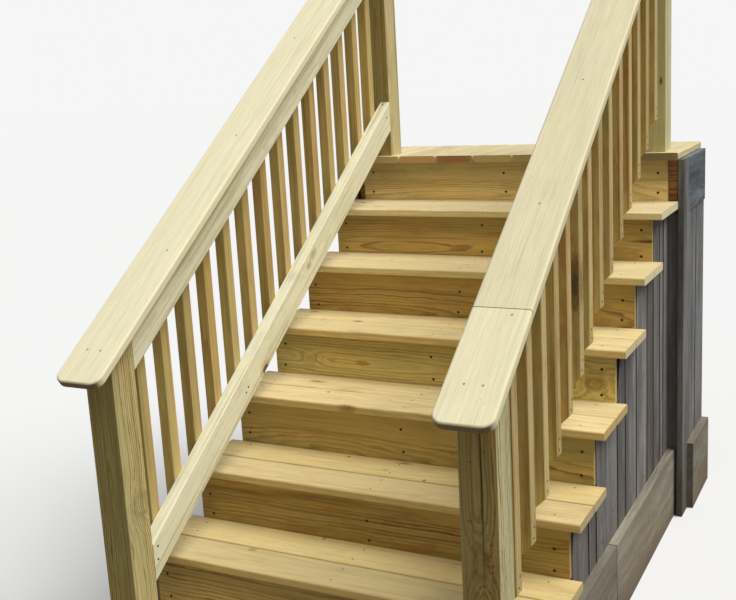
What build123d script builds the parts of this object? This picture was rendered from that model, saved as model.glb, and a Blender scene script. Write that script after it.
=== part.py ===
from build123d import *
import math
import os

os.makedirs("parts", exist_ok=True)

# Wooden deck stairs: a closed flight between two guards, with the edge of the deck that it meets.
# Millimetres, Z up, X along the treads, Y up the flight; the origin is the middle of the footprint, on the ground.

# Flight
tread_count = 7
rise = 161.0
first_rise = 164.0
run = 239.0
tread_width = 1206.0
tread_board = 127.5
tread_gap = 3.0
tread_thickness = 25.0
tread_ease = 6.0
tread_end_overhang = 35.0
riser_thickness = 19.0
riser_tuck = 4.0

# Stringers
stringer_thickness = 38.0
stringer_depth = 286.0

# Siding and skirt boards along the two sides
siding_thickness = 15.0
siding_gap = 8.0
siding_top_gap = 2.0
siding_foot = 20.0
skirt_thickness = 25.0
skirt_height = 245.0
skirt_split = 808.0
skirt_split_gap = 4.0

# Posts of the guards and under the landing
post = 89.0
post_ease = 3.0

# Landing, the strip of deck at the head of the flight
deck_overhang = 25.0
deck_board = 141.0
deck_gap = 6.0
deck_thickness = 25.0
deck_ease = 5.0
deck_joint = 33.0
deck_side_overhang = 3.0
landing_back = 395.0
joist_thickness = 38.0
joist_height = 184.0
rim_end_gap = 6.0
ledger_height = 140.0
trim_thickness = 19.0
trim_width = 89.0
trim_front = 0.0

# Guards
newel_leg_left = 62.5
newel_leg_right = 45.0
newel_front = -1668.5
upper_post_front = 10.5
rail_thickness = 38.0
rail_height = 89.0
rail_ease = 3.0
bottom_rail_left_over = 85.0
bottom_rail_right_over = 113.0
top_rail_over = 673.5
cap_width = 140.0
cap_thickness = 25.0
cap_ease = 6.0
cap_corner = 30.0
cap_lower_overhang = 90.0
upper_post_height = 914.0
cap_joint = 1490.0
cap_joint_gap = 2.0
baluster = 35.0
baluster_ease = 2.0
baluster_count = 14
baluster_pitch = 111.6
first_baluster = -1506.0
baluster_foot = 38.0
baluster_head_gap = 2.0
# The right balusters stand a little out of step with the left ones, each by this much up the flight
baluster_step_right = (3, 2, 0, -6, -12, -12, -31, -29, -31, -22, -22, -21, -17, -5)
baluster_step_left = (0,) * baluster_count

# Derived heights and places; distances along Y are kept from the face of the top riser and shifted at the end
deck_top = first_rise + tread_count * rise
slope = rise / run
slope_angle = math.degrees(math.atan(slope))
across = math.cos(math.radians(slope_angle))
along = math.sin(math.radians(slope_angle))
cap_end = newel_front - cap_lower_overhang
cap_tip = cap_end + cap_ease * (across + along - 1)
shift = -(cap_tip + landing_back) / 2
deck_under = deck_top - deck_thickness
joist_bottom = deck_under - joist_height
riser_back = riser_thickness
rim_back = riser_back + joist_thickness
riser_width = tread_width - 2 * tread_end_overhang
half_riser = riser_width / 2
stringer_outer = half_riser - siding_thickness
stringer_inner = stringer_outer - stringer_thickness
joist_half_width = tread_width / 2
rim_half_width = joist_half_width - rim_end_gap
deck_half_width = joist_half_width + deck_side_overhang
left_guard_inner = newel_leg_left - stringer_inner
right_guard_inner = stringer_inner - newel_leg_right
flight_front = -tread_count * run
rail_rise = rail_height / across
cap_under = top_rail_over + rail_rise
newel_back = newel_front + post
upper_post_back = upper_post_front + post


def tread_top(k):
    return deck_top - first_rise - (k - 1) * rise


def riser_face(k):
    return -(k - 1) * run


def guard_line(y, over):
    return deck_top + slope * y + over


def block(x0, x1, y0, y1, z0, z1, mode=Mode.ADD):
    # A plain board between two corners, drawn as its plan and raised
    with BuildSketch(Plane.XY.offset(z0)) as plan:
        with Locations(((x0 + x1) / 2, (y0 + y1) / 2 + shift)):
            Rectangle(x1 - x0, y1 - y0)
    extrude(plan.sketch, amount=z1 - z0, mode=mode)


def save(builder, name):
    builder.part.label = name
    export_step(builder.part, "parts/" + name + ".step")


# Treads, two boards with rounded long edges each; the lowest is cut out around the two newels
for k in range(1, tread_count + 1):
    with BuildPart() as tread:
        for row in range(2):
            back = riser_face(k) - row * (tread_board + tread_gap)
            middle = (back - tread_board / 2 + shift, tread_top(k) - tread_thickness / 2)
            with BuildSketch(Plane.YZ.offset(-tread_width / 2)):
                with Locations(middle):
                    RectangleRounded(tread_board, tread_thickness, tread_ease)
            extrude(amount=tread_width)
        if k == tread_count:
            notch_back = riser_face(k) - tread_board - tread_gap
            for x0 in (left_guard_inner - post, right_guard_inner):
                block(x0, x0 + post, newel_front, notch_back, tread_top(k) - tread_thickness, tread_top(k), Mode.SUBTRACT)
    save(tread, "tread_" + str(k))

# Risers, each standing behind the back edge of the tread in front of it
for k in range(1, tread_count + 2):
    top = deck_under if k == 1 else tread_top(k - 1) - tread_thickness
    bottom = tread_top(k) - riser_tuck if k <= tread_count else 0
    with BuildPart() as riser:
        block(-half_riser, half_riser, riser_face(k), riser_face(k) + riser_thickness, bottom, top)
    save(riser, "riser_" + str(k))

# Stringers, planks notched for every tread and riser, with a level foot and a plumb head
foot_front = flight_front + riser_thickness
seat = tread_top(tread_count) - tread_thickness
sawtooth = [(foot_front, 0), (foot_front, seat)]
for k in range(tread_count, 0, -1):
    corner = riser_face(k) + riser_thickness
    sawtooth.append((corner, tread_top(k) - tread_thickness))
    if k > 1:
        sawtooth.append((corner, tread_top(k - 1) - tread_thickness))
plank = stringer_depth / across
head_bottom = seat + slope * (riser_back - foot_front) - plank
heel = foot_front + (plank - seat) / slope
sawtooth.append((riser_back, head_bottom))
sawtooth.append((heel, 0))
stringer_places = {"left": -stringer_outer, "middle": -stringer_thickness / 2, "right": stringer_inner}
for side, x0 in stringer_places.items():
    with BuildPart() as stringer:
        with BuildSketch(Plane.YZ.offset(x0)):
            with BuildLine():
                Polyline([(y + shift, z) for y, z in sawtooth], close=True)
            make_face()
        extrude(amount=stringer_thickness)
    save(stringer, "stringer_" + side)

# Siding, upright boards that fill each side under the treads; some front edges lean away from the riser
board_shares = {1: (0.42, 0.64), 2: (0.62,), 3: (0.41,), 4: (), 5: (0.68,), 6: (0.5,), 7: (0.5,)}
board_lean = {2: 12.0, 3: 40.0, 5: 16.0, 6: 14.0}
lean_height = 130.0
for side, x0 in (("left", -half_riser), ("right", stringer_outer)):
    with BuildPart() as siding:
        for k in range(1, tread_count + 1):
            front = riser_face(k + 1) + riser_thickness
            head = tread_top(k) - tread_thickness - siding_top_gap
            joints = [front] + [front + share * run for share in board_shares[k]] + [front + run]
            for number in range(len(joints) - 1):
                y0 = joints[number] + siding_gap / 2 + shift
                y1 = joints[number + 1] - siding_gap / 2 + shift
                lean = board_lean.get(k, 0.0) if number == 0 else 0.0
                with BuildSketch(Plane.YZ.offset(x0)):
                    with BuildLine():
                        if lean:
                            Polyline((y0, siding_foot), (y1, siding_foot), (y1, head), (y0 + lean, head),
                                     (y0, head - lean_height), close=True)
                        else:
                            Polyline((y0, siding_foot), (y1, siding_foot), (y1, head), (y0, head), close=True)
                    make_face()
                extrude(amount=siding_thickness)
    save(siding, "siding_" + side)

# Skirt boards on the ground, two lengths on each side with a butt joint; the front one is cut down under the lowest tread
skirt_front_end = -skirt_split - skirt_split_gap / 2
skirt_rear_start = -skirt_split + skirt_split_gap / 2
skirt_step = riser_face(tread_count)
skirt_outline = [(flight_front, 0), (flight_front, seat), (skirt_step, seat), (skirt_step, skirt_height),
                 (skirt_front_end, skirt_height), (skirt_front_end, 0)]
for side, x0 in (("left", -half_riser - skirt_thickness), ("right", half_riser)):
    with BuildPart() as skirt:
        with BuildSketch(Plane.YZ.offset(x0)):
            with BuildLine():
                Polyline([(y + shift, z) for y, z in skirt_outline], close=True)
            make_face()
        extrude(amount=skirt_thickness)
        block(x0, x0 + skirt_thickness, skirt_rear_start, riser_back, 0, skirt_height)
    save(skirt, "skirt_" + side)

# Landing frame
with BuildPart() as rim_joist:
    block(-rim_half_width, rim_half_width, riser_back, rim_back, joist_bottom, deck_under)
save(rim_joist, "rim_joist")

# A ledger between the corner posts takes the head of the middle stringer
ledger_half_width = joist_half_width - post
with BuildPart() as stringer_ledger:
    block(-ledger_half_width, ledger_half_width, riser_back, rim_back, joist_bottom - ledger_height, joist_bottom)
save(stringer_ledger, "stringer_ledger")

back_joist_front = landing_back - joist_thickness
with BuildPart() as back_joist:
    block(-joist_half_width, joist_half_width, back_joist_front, landing_back, joist_bottom, deck_under)
save(back_joist, "back_joist")

with BuildPart() as side_joists:
    for x0 in (-joist_half_width, joist_half_width - joist_thickness):
        block(x0, x0 + joist_thickness, rim_back, back_joist_front, joist_bottom, deck_under)
save(side_joists, "side_joists")

with BuildPart() as landing_posts:
    for x0 in (-joist_half_width, joist_half_width - post):
        for y0 in (riser_back, landing_back - post):
            with BuildSketch():
                with Locations((x0 + post / 2, y0 + post / 2 + shift)):
                    RectangleRounded(post, post, post_ease)
            extrude(amount=joist_bottom)
save(landing_posts, "landing_posts")

trim_back = trim_front + trim_width
with BuildPart() as corner_trims:
    for x0 in (-joist_half_width - trim_thickness, joist_half_width):
        block(x0, x0 + trim_thickness, trim_front, trim_back, 0, deck_under)
save(corner_trims, "corner_trims")

with BuildPart() as fascia_boards:
    for x0 in (-joist_half_width - trim_thickness, joist_half_width):
        block(x0, x0 + trim_thickness, trim_back, landing_back, joist_bottom, deck_under)
save(fascia_boards, "fascia_boards")

landing_board_middle = (trim_back + landing_back) / 2
with BuildPart() as landing_siding:
    for x0 in (-joist_half_width - siding_thickness, joist_half_width):
        block(x0, x0 + siding_thickness, trim_back, landing_board_middle - siding_gap / 2, siding_foot, joist_bottom)
        block(x0, x0 + siding_thickness, landing_board_middle + siding_gap / 2, landing_back, siding_foot, joist_bottom)
save(landing_siding, "landing_siding")

landing_skirt_inner = joist_half_width + siding_thickness
with BuildPart() as landing_skirts:
    for x0 in (-landing_skirt_inner - skirt_thickness, landing_skirt_inner):
        block(x0, x0 + skirt_thickness, trim_back, landing_back, 0, skirt_height)
save(landing_skirts, "landing_skirts")

# Landing boards, laid square to the front edge and cut out around the upper posts
deck_pitch = deck_board + deck_gap
first_joint = deck_joint - deck_pitch * math.floor((deck_joint + deck_half_width) / deck_pitch)
board_edges = [-deck_half_width - deck_gap / 2]
joint = first_joint
while joint < deck_half_width:
    board_edges.append(joint)
    joint += deck_pitch
board_edges.append(deck_half_width + deck_gap / 2)
with BuildPart() as landing_boards:
    for number in range(len(board_edges) - 1):
        x0 = board_edges[number] + deck_gap / 2
        x1 = board_edges[number + 1] - deck_gap / 2
        with BuildSketch(Plane.XZ.offset(deck_overhang - shift)):
            with Locations(((x0 + x1) / 2, deck_top - deck_thickness / 2)):
                RectangleRounded(x1 - x0, deck_thickness, deck_ease)
        extrude(amount=-(landing_back + deck_overhang))
    for x0 in (left_guard_inner - post, right_guard_inner):
        block(x0, x0 + post, upper_post_front, upper_post_back, deck_under, deck_top, Mode.SUBTRACT)
save(landing_boards, "landing_boards")


def slope_plane(over):
    # The plane of the guard line at this height over it, seen along the slope
    return Plane(origin=(0, shift, deck_top + over), x_dir=(1, 0, 0), z_dir=(0, -along, across))


def newel(x0, leg_x0, leg_x1):
    # A square post under the cap; its leg passes the lowest tread and stands inside the stringer, behind the riser
    with BuildSketch(Plane.XY.offset(seat)) as plan:
        with Locations((x0 + post / 2, newel_front + post / 2 + shift)):
            RectangleRounded(post, post, post_ease)
    extrude(plan.sketch, amount=cap_under + rise)
    split(bisect_by=slope_plane(cap_under), keep=Keep.BOTTOM)
    block(leg_x0, leg_x1, foot_front, newel_back, 0, seat)


def upper_post(x0):
    # A square post that stands past the cap, housed over the rim joist below the boards
    with BuildSketch(Plane.XY.offset(deck_under)) as plan:
        with Locations((x0 + post / 2, upper_post_front + post / 2 + shift)):
            RectangleRounded(post, post, post_ease)
    extrude(plan.sketch, amount=deck_thickness + upper_post_height)
    block(x0, x0 + post, rim_back, upper_post_back, joist_bottom, deck_under)


def rail(x0, over):
    # A plank on edge between the posts, cut plumb at both ends
    with BuildSketch(Plane.YZ.offset(x0)) as side_view:
        with BuildLine():
            Polyline(
                (newel_back + shift, guard_line(newel_back, over)),
                (upper_post_front + shift, guard_line(upper_post_front, over)),
                (upper_post_front + shift, guard_line(upper_post_front, over) + rail_rise),
                (newel_back + shift, guard_line(newel_back, over) + rail_rise),
                close=True,
            )
        make_face()
    extrude(side_view.sketch, amount=rail_thickness)
    fillet(edges().filter_by(Axis((0, 0, 0), (0, across, along))), radius=rail_ease)


def cap(x_middle):
    # A flat board down the slope, its edges eased and its lower corners rounded, cut plumb against the upper post
    length = (upper_post_back - cap_start) / across
    with BuildSketch(slope_plane(cap_under)) as plan:
        with Locations((x_middle, cap_start / across + length / 2)):
            Rectangle(cap_width, length)
        fillet(vertices().group_by(Axis.Y)[0], radius=cap_corner)
    extrude(plan.sketch, amount=cap_thickness)
    top_and_bottom = faces().filter_by(Plane(origin=(0, 0, 0), z_dir=(0, -along, across)))
    fillet(top_and_bottom.edges(), radius=cap_ease)
    split(bisect_by=Plane.XZ.offset(-(upper_post_front + shift)), keep=Keep.TOP)


def baluster_row(rail_face, outward, rail_over, steps):
    # Square pickets screwed to the outside of both rails, the foot cut at 45 degrees away from the rail
    outer = rail_face + outward * baluster
    for number in range(baluster_count):
        y0 = first_baluster + number * baluster_pitch + steps[number] - baluster / 2
        foot = guard_line(y0 + baluster / 2, rail_over) + baluster_foot
        head = guard_line(y0 + baluster, cap_under)
        with BuildSketch(Plane.XZ.offset(-(y0 + shift))) as front_view:
            with BuildLine():
                Polyline((rail_face, foot - baluster), (outer, foot), (outer, head), (rail_face, head), close=True)
            make_face()
        extrude(front_view.sketch, amount=-baluster)
    chamfer(edges().filter_by(Axis.Z), length=baluster_ease)
    split(bisect_by=slope_plane(cap_under - baluster_head_gap), keep=Keep.BOTTOM)


# The cap's lower end is cut square to the board, so its upper edge reaches forward to cap_end
cap_start = cap_end + cap_thickness * along
post_middle = post / 2

# Left guard
left_outer = left_guard_inner - post
with BuildPart() as newel_left:
    newel(left_outer, -stringer_inner, left_guard_inner)
save(newel_left, "newel_left")
with BuildPart() as upper_post_left:
    upper_post(left_outer)
save(upper_post_left, "upper_post_left")
with BuildPart() as top_rail_left:
    rail(left_guard_inner - rail_thickness, top_rail_over)
save(top_rail_left, "top_rail_left")
with BuildPart() as bottom_rail_left:
    rail(left_guard_inner - rail_thickness, bottom_rail_left_over)
save(bottom_rail_left, "bottom_rail_left")
with BuildPart() as balusters_left:
    baluster_row(left_guard_inner - rail_thickness, -1, bottom_rail_left_over, baluster_step_left)
save(balusters_left, "balusters_left")
with BuildPart() as cap_left:
    cap(left_guard_inner - post_middle)
save(cap_left, "cap_left")

# Right guard, its cap in two lengths that meet at a plumb joint
with BuildPart() as newel_right:
    newel(right_guard_inner, right_guard_inner, stringer_inner)
save(newel_right, "newel_right")
with BuildPart() as upper_post_right:
    upper_post(right_guard_inner)
save(upper_post_right, "upper_post_right")
with BuildPart() as top_rail_right:
    rail(right_guard_inner, top_rail_over)
save(top_rail_right, "top_rail_right")
with BuildPart() as bottom_rail_right:
    rail(right_guard_inner, bottom_rail_right_over)
save(bottom_rail_right, "bottom_rail_right")
with BuildPart() as balusters_right:
    baluster_row(right_guard_inner + rail_thickness, 1, bottom_rail_right_over, baluster_step_right)
save(balusters_right, "balusters_right")
joint_plane = Plane.XZ.offset(cap_joint - shift)
with BuildPart() as cap_right_lower:
    cap(right_guard_inner + post_middle)
    split(bisect_by=joint_plane.offset(cap_joint_gap / 2), keep=Keep.TOP)
save(cap_right_lower, "cap_right_lower")
with BuildPart() as cap_right_upper:
    cap(right_guard_inner + post_middle)
    split(bisect_by=joint_plane.offset(-cap_joint_gap / 2), keep=Keep.BOTTOM)
save(cap_right_upper, "cap_right_upper")
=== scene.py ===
import math
import random

import bmesh
import bpy
from mathutils import Matrix, Vector


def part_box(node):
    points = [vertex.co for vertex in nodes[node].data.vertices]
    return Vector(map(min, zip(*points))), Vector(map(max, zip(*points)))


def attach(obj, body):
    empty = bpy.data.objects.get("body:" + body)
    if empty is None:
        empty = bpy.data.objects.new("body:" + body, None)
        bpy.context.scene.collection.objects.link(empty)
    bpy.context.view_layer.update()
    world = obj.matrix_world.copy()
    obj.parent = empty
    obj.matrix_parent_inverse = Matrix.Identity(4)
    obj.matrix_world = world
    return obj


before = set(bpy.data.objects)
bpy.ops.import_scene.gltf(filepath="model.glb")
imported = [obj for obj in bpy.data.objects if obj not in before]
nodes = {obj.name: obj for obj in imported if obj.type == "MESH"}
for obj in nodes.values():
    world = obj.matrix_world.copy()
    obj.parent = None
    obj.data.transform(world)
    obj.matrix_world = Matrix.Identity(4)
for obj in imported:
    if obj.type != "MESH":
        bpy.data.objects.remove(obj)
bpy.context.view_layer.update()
print("frame loaded,", len(nodes), "nodes")

# The flight line, read from the lowest and highest tread
lowBox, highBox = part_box("tread_7"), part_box("tread_1")
treadCount = 7
rise = (highBox[1].z - lowBox[1].z) / (treadCount - 1)
run = (highBox[1].y - lowBox[1].y) / (treadCount - 1)
slope = math.atan2(rise, run)


def paint(red, green, blue):
    # A colour as a paint chart gives it, 0 to 255, turned into the linear values that shaders use
    parts = [value / 255 for value in (red, green, blue)]
    return tuple([p / 12.92 if p <= 0.04045 else ((p + 0.055) / 1.055) ** 2.4 for p in parts] + [1.0])


bench = {"tree": None}  # the node tree that is being built


def addNode(kind):
    return bench["tree"].nodes.new("ShaderNode" + kind)


def feed(socket, value):
    if isinstance(value, bpy.types.NodeSocket):
        bench["tree"].links.new(value, socket)
    else:
        socket.default_value = value


def fill(node, values):
    for socket, value in zip(node.inputs, values):
        feed(socket, value)
    return node.outputs


def maths(operation, *values):
    node = addNode("Math")
    node.operation = operation
    return fill(node, values)[0]


def times(*values):
    return maths("MULTIPLY", *values)


def plus(*values):
    return maths("ADD", *values)


def minus(*values):
    return maths("SUBTRACT", *values)


def absolute(value):
    return maths("ABSOLUTE", value)


def vectorMaths(operation, *values):
    node = addNode("VectorMath")
    node.operation = operation
    return fill(node, values)["Value" if operation in ("LENGTH", "DOT_PRODUCT") else "Vector"]


def split(vector):
    return fill(addNode("SeparateXYZ"), [vector])


def join(x, y, z):
    return fill(addNode("CombineXYZ"), (x, y, z))[0]


def noise(vector, stretch, detail, rough=0.5, offset=None):
    # offset reads another part of the noise, so that two effects of a board don't fall together
    if offset:
        vector = vectorMaths("ADD", vector, offset)
    node = addNode("TexNoise")
    node.inputs["Scale"].default_value = 1.0
    node.inputs["Detail"].default_value = detail
    node.inputs["Roughness"].default_value = rough
    feed(node.inputs["Vector"], vectorMaths("MULTIPLY", vector, stretch))
    return node.outputs["Fac"]


def swing(value):
    # A noise from 0 to 1 as one around zero
    return minus(value, 0.5)


def whiteNoise(value):
    node = addNode("TexWhiteNoise")
    node.noise_dimensions = "1D"
    feed(node.inputs["W"], value)
    return node.outputs["Value"]


def span(value, low, high, toLow=0.0, toHigh=1.0, smooth=True):
    node = addNode("MapRange")
    node.interpolation_type = "SMOOTHSTEP" if smooth else "LINEAR"
    return fill(node, (value, low, high, toLow, toHigh))[0]


def mix(factor, first, second, blend="MIX"):
    node = addNode("Mix")
    node.data_type = "RGBA"
    node.blend_type = blend
    for index, value in ((0, factor), (6, first), (7, second)):
        feed(node.inputs[index], value)
    return node.outputs[2]


def shade(colour, level):
    # The colour made lighter or darker by a value
    return mix(1.0, colour, join(level, level, level), "MULTIPLY")


def makeGroup(name, vectors, values, outputs):
    # vectors and values are the inputs, all outputs are values
    group = bpy.data.node_groups.new(name, "ShaderNodeTree")
    for way, kind, labels in (("INPUT", "Vector", vectors), ("INPUT", "Float", values), ("OUTPUT", "Float", outputs)):
        for label in labels:
            group.interface.new_socket(name=label, in_out=way, socket_type="NodeSocket" + kind)
    bench["tree"] = group
    return group, group.nodes.new("NodeGroupInput").outputs, group.nodes.new("NodeGroupOutput").inputs


def shiftBySeed(got, apart):
    # Each board reads its own stretch of the noise
    return vectorMaths("ADD", got["board"], join(times(got["seed"], apart), 0.0, 0.0))


def place(group, **values):
    node = addNode("Group")
    node.node_tree = group
    for label, value in values.items():
        feed(node.inputs[label], value)
    return node.outputs


# Growth rings of a board sawn from a log: X runs along the grain, Y across the face, Z through the board
ringKeys = ("ringWidth", "pithY", "pithZ", "rake", "wander", "calm", "fadeFrom")  # what each look gives
ringGroup, got, give = makeGroup(
    "growthRings", ["board"], ["seed", "push", *ringKeys], ["rings", "fibre", "cloud", "streak"])
# Each noise: stretch along the board axes, detail, roughness, offset
ringNoises = {
    "bendY": ((1.6, 5, 5), 2.0), "bendZ": ((1.3, 4, 4), 2.0, 0.5, (3.1, 7.7, 1.9)),
    "ripple": ((11, 80, 80), 4.0, 0.6), "quiet": ((0.8, 9, 9), 2.0, 0.5, (5.5, 2.9, 8.3)),
    "fibre": ((9, 420, 420), 3.0, 0.6), "cloud": ((2.2, 9, 9), 3.0, 0.55, (0.7, 2.3, 5.1)),
    "streak": ((1.6, 75, 75), 2.0, 0.55, (9.7, 1.3, 0.6))}
# late and sharp: how the dark wood comes and ends within a ring
ring = {"apart": 37.0, "ripple": 1.5, "late": (0.25, 0.84), "sharp": (0.86, 1.0), "drawn": 13.0, "faintest": 0.25,
        "quiet": (0.4, 0.6), "sway": 0.05, "fade": (0.0, 0.02), "faded": 0.15}
shifted = shiftBySeed(got, ring["apart"])
parts = split(got["board"])
bendY = swing(noise(shifted, *ringNoises["bendY"]))
bendZ = swing(noise(shifted, *ringNoises["bendZ"]))
fromY = plus(minus(parts[1], got["pithY"]), times(bendY, got["wander"]))
fromZ = plus(minus(parts[2], got["pithZ"]), times(bendZ, got["wander"]))
fromZ = plus(fromZ, times(parts[0], got["rake"]))
radius = maths("SQRT", plus(times(fromY, fromY), times(fromZ, fromZ)))
turns = maths("DIVIDE", plus(radius, got["push"]), got["ringWidth"])
turns = plus(turns, times(swing(noise(shifted, *ringNoises["ripple"])), ring["ripple"]))
phase = maths("FRACT", turns)
late = times(span(phase, *ring["late"]), span(phase, *ring["sharp"], 1.0, 0.0))
strength = whiteNoise(plus(maths("FLOOR", turns), times(got["seed"], ring["drawn"])))
strength = span(strength, 0.0, 1.0, ring["faintest"], 1.0)
quiet = noise(shifted, *ringNoises["quiet"])
quiet = span(quiet, *ring["quiet"], minus(1.0, got["calm"]), 1.0)
above = plus(minus(parts[1], got["fadeFrom"]), times(bendY, ring["sway"]))
quiet = times(quiet, span(above, *ring["fade"], 1.0, ring["faded"]))
feed(give["rings"], times(times(late, strength), quiet))
for effect in ("fibre", "cloud", "streak"):
    feed(give[effect], noise(shifted, *ringNoises[effect]))

# A knot: a dark core with a rim, and the push that bends the rings around it
knotGroup, got, give = makeGroup("knot", ["board", "centre"], ["size", "stretch"], ["core", "rim", "push"])
# Distances are in knot sizes; deep: how little the knot changes through the board
knotShape = {"deep": 0.35, "grain": ((110, 110, 110), 3.0), "ragged": 1.1, "core": (0.6, 1.05), "rim": (0.7, 1.0),
             "rimEnd": (1.0, 2.1), "narrow": -0.13, "push": 2.2}
parts = split(vectorMaths("SUBTRACT", got["board"], got["centre"]))
flat = join(maths("DIVIDE", parts[0], got["stretch"]), parts[1], times(parts[2], knotShape["deep"]))
ragged = times(swing(noise(got["board"], *knotShape["grain"])), knotShape["ragged"])
far = plus(maths("DIVIDE", vectorMaths("LENGTH", flat), got["size"]), ragged)
feed(give["core"], span(far, *knotShape["core"], 1.0, 0.0))
feed(give["rim"], times(span(far, *knotShape["rim"]), span(far, *knotShape["rimEnd"], 1.0, 0.0)))
spread = maths("EXPONENT", times(times(far, far), knotShape["narrow"]))
feed(give["push"], times(spread, times(got["size"], knotShape["push"])))

# What handling leaves on new boards: soft grey smudges, small nicks, the green cast of the treatment
handledGroup, got, give = makeGroup("handled", ["board"], ["seed"], ["smudge", "nicks", "green", "warm"])
handledApart = 29.0
# Each effect: its noise, and where in it the effect starts and is full
handling = {
    "smudge": (((7, 16, 16), 5.0, 0.65), (0.5, 0.75)),
    "nicks": (((95, 210, 210), 1.0, 0.5, (1.2, 3.4, 5.6)), (0.735, 0.79)),
    "green": (((1.5, 12, 12), 3.0, 0.5, (6.5, 4.3, 2.1)), (0.42, 0.66)),
    "warm": (((8, 30, 30), 4.0, 0.6, (0.3, 8.1, 4.7)), (0.5, 0.64))}
shifted = shiftBySeed(got, handledApart)
for effect, (pattern, reach) in handling.items():
    feed(give[effect], span(noise(shifted, *pattern), *reach))

# Old bare boards: grey bleaching, raised fibres, long drying cracks
oldGroup, got, give = makeGroup("weathering", ["board"], ["seed"], ["bleach", "fibre", "crack", "stain", "blotch"])
oldApart = 23.0
weather = {
    "bleach": ((1.4, 11, 11), 5.0, 0.62), "fibre": ((9, 260, 260), 4.0, 0.7),
    "stain": ((4, 22, 22), 4.0, 0.62, (4.4, 0.2, 8.8)), "blotch": ((26, 60, 60), 3.0, 0.6, (7.1, 6.6, 1.1))}
# A crack is the thin middle of a long noise, where another noise opens it
crackShape = {"veins": ((1.3, 48, 48), 2.0), "thin": (0.003, 0.013),
              "places": ((3, 12, 12), 2.0, 0.5, (2.2, 6.1, 3.3)), "opened": (0.5, 0.62)}
shifted = shiftBySeed(got, oldApart)
for effect, pattern in weather.items():
    feed(give[effect], noise(shifted, *pattern))
veins = absolute(swing(noise(shifted, *crackShape["veins"])))
opened = span(noise(shifted, *crackShape["places"]), *crackShape["opened"])
feed(give["crack"], times(span(veins, *crackShape["thin"], 1.0, 0.0), opened))
print("shader groups made")


def boardsAlong(name, axis):
    # Low and high end of each board of a node along an axis, read from its mesh
    work = bmesh.new()
    work.from_mesh(nodes[name].data)
    bmesh.ops.remove_doubles(work, verts=work.verts, dist=1e-5)
    waiting = set(work.verts)
    found = {}
    while waiting:
        reach = [waiting.pop()]
        low = high = reach[0].co[axis]
        while reach:
            vertex = reach.pop()
            low, high = min(low, vertex.co[axis]), max(high, vertex.co[axis])
            for edge in vertex.link_edges:
                other = edge.other_vert(vertex)
                if other in waiting:
                    waiting.discard(other)
                    reach.append(other)
        found[round(low, 4)] = high
    work.free()
    return sorted(found.items())


# Board axes: which of X, Y and Z run along the grain, across the face and through the board
grains = {"x": (0, 1, 2), "xUp": (0, 2, 1), "y": (1, 0, 2), "ySide": (1, 2, 0), "z": (2, 0, 1), "zSide": (2, 1, 0)}
jointSlack = 0.0015  # how far before its first edge a board's own tone begins
rampMargin = 0.05  # room at both ends of the ramp that numbers the boards
findSlack = 0.002  # a knot may lie this far before the first edge of its board
oddStep = 57.0  # makes a second, independent draw of a board's number


class Board:
    # Where the wood of a node lies and how it is turned
    def __init__(self, name, grain, seed, tilt=0.0, several=None, dealt=None):
        low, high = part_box(name)
        self.centre = (low + high) / 2
        self.order = grains[grain]
        self.seed = seed
        self.tilt = tilt
        self.boards = boardsAlong(name, several) if several is not None else []
        self.axis = several if len(self.boards) > 1 else None
        self.numbers = [(i + 0.5) / max(1, len(self.boards)) for i in range(len(self.boards))]
        random.Random(dealt or seed).shuffle(self.numbers)

    def find(self, point):
        # Which board of the node holds a point
        return [i for i, (start, end) in enumerate(self.boards) if start - findSlack <= point[self.axis]][-1]

    def inside(self, point):
        # A point of the model in board space
        middle = self.centre.copy()
        if self.axis is not None:
            middle[self.axis] = sum(self.boards[self.find(point)]) / 2
        turned = Matrix.Rotation(-self.tilt, 3, "X") @ (Vector(point) - middle)
        return tuple(turned[i] for i in self.order)

    def build(self):
        # Board coordinates, the normal in them, the texture node, the board's own number and half width
        texture = addNode("TexCoord")
        spot = texture.outputs["Object"]
        middle, own, half = list(self.centre), None, None
        if self.axis is not None:
            low, high = self.boards[0][0] - rampMargin, self.boards[-1][1] + rampMargin
            node = addNode("ValToRGB")
            band = node.color_ramp
            band.interpolation = "CONSTANT"
            band.elements.remove(band.elements[-1])
            for number, (start, end) in enumerate(self.boards):
                at = 0.0 if number == 0 else (start - jointSlack - low) / (high - low)
                stop = band.elements[0] if number == 0 else band.elements.new(at)
                stop.position = at
                stop.color = (self.numbers[number], ((start + end) / 2 - low) / (high - low), (end - start) / 2, 1)
            feed(node.inputs[0], span(split(spot)[self.axis], low, high, smooth=False))
            own, centred, half = split(node.outputs[0])
            middle[self.axis] = span(centred, 0.0, 1.0, low, high, smooth=False)
        local = vectorMaths("SUBTRACT", spot, join(*middle))
        normal = texture.outputs["Normal"]
        if self.tilt:
            turned = []
            for vector in (local, normal):
                node = addNode("VectorRotate")
                node.rotation_type = "X_AXIS"
                node.inputs["Angle"].default_value = -self.tilt
                feed(node.inputs["Vector"], vector)
                turned.append(node.outputs[0])
            local, normal = turned
        here, facing = split(local), split(normal)
        return join(*[here[i] for i in self.order]), [facing[i] for i in self.order], texture, own, half

    def noiseSeed(self, own, apart):
        # apart: how far two nodes lie from each other in the noise
        return self.seed * apart if own is None else plus(own, self.seed * apart)


def startMaterial(name):
    material = bpy.data.materials.new(name)
    material.use_nodes = True
    bench["tree"] = material.node_tree
    return material, material.node_tree.nodes["Principled BSDF"]


# Masks of both woods
bothMasks = {"turned": (0.35, 0.8), "boards": (0.05, 0.95), "rough": (0.2, 0.8)}


def paintFacingLight(base, texture, faces):
    # Painted light and shade: faces that look in a direction of the model are made lighter or darker
    for direction, colour in faces:
        looks = vectorMaths("DOT_PRODUCT", texture.outputs["Normal"], direction)
        base = mix(span(looks, *bothMasks["turned"]), base, colour, "MULTIPLY")
    return base


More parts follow.
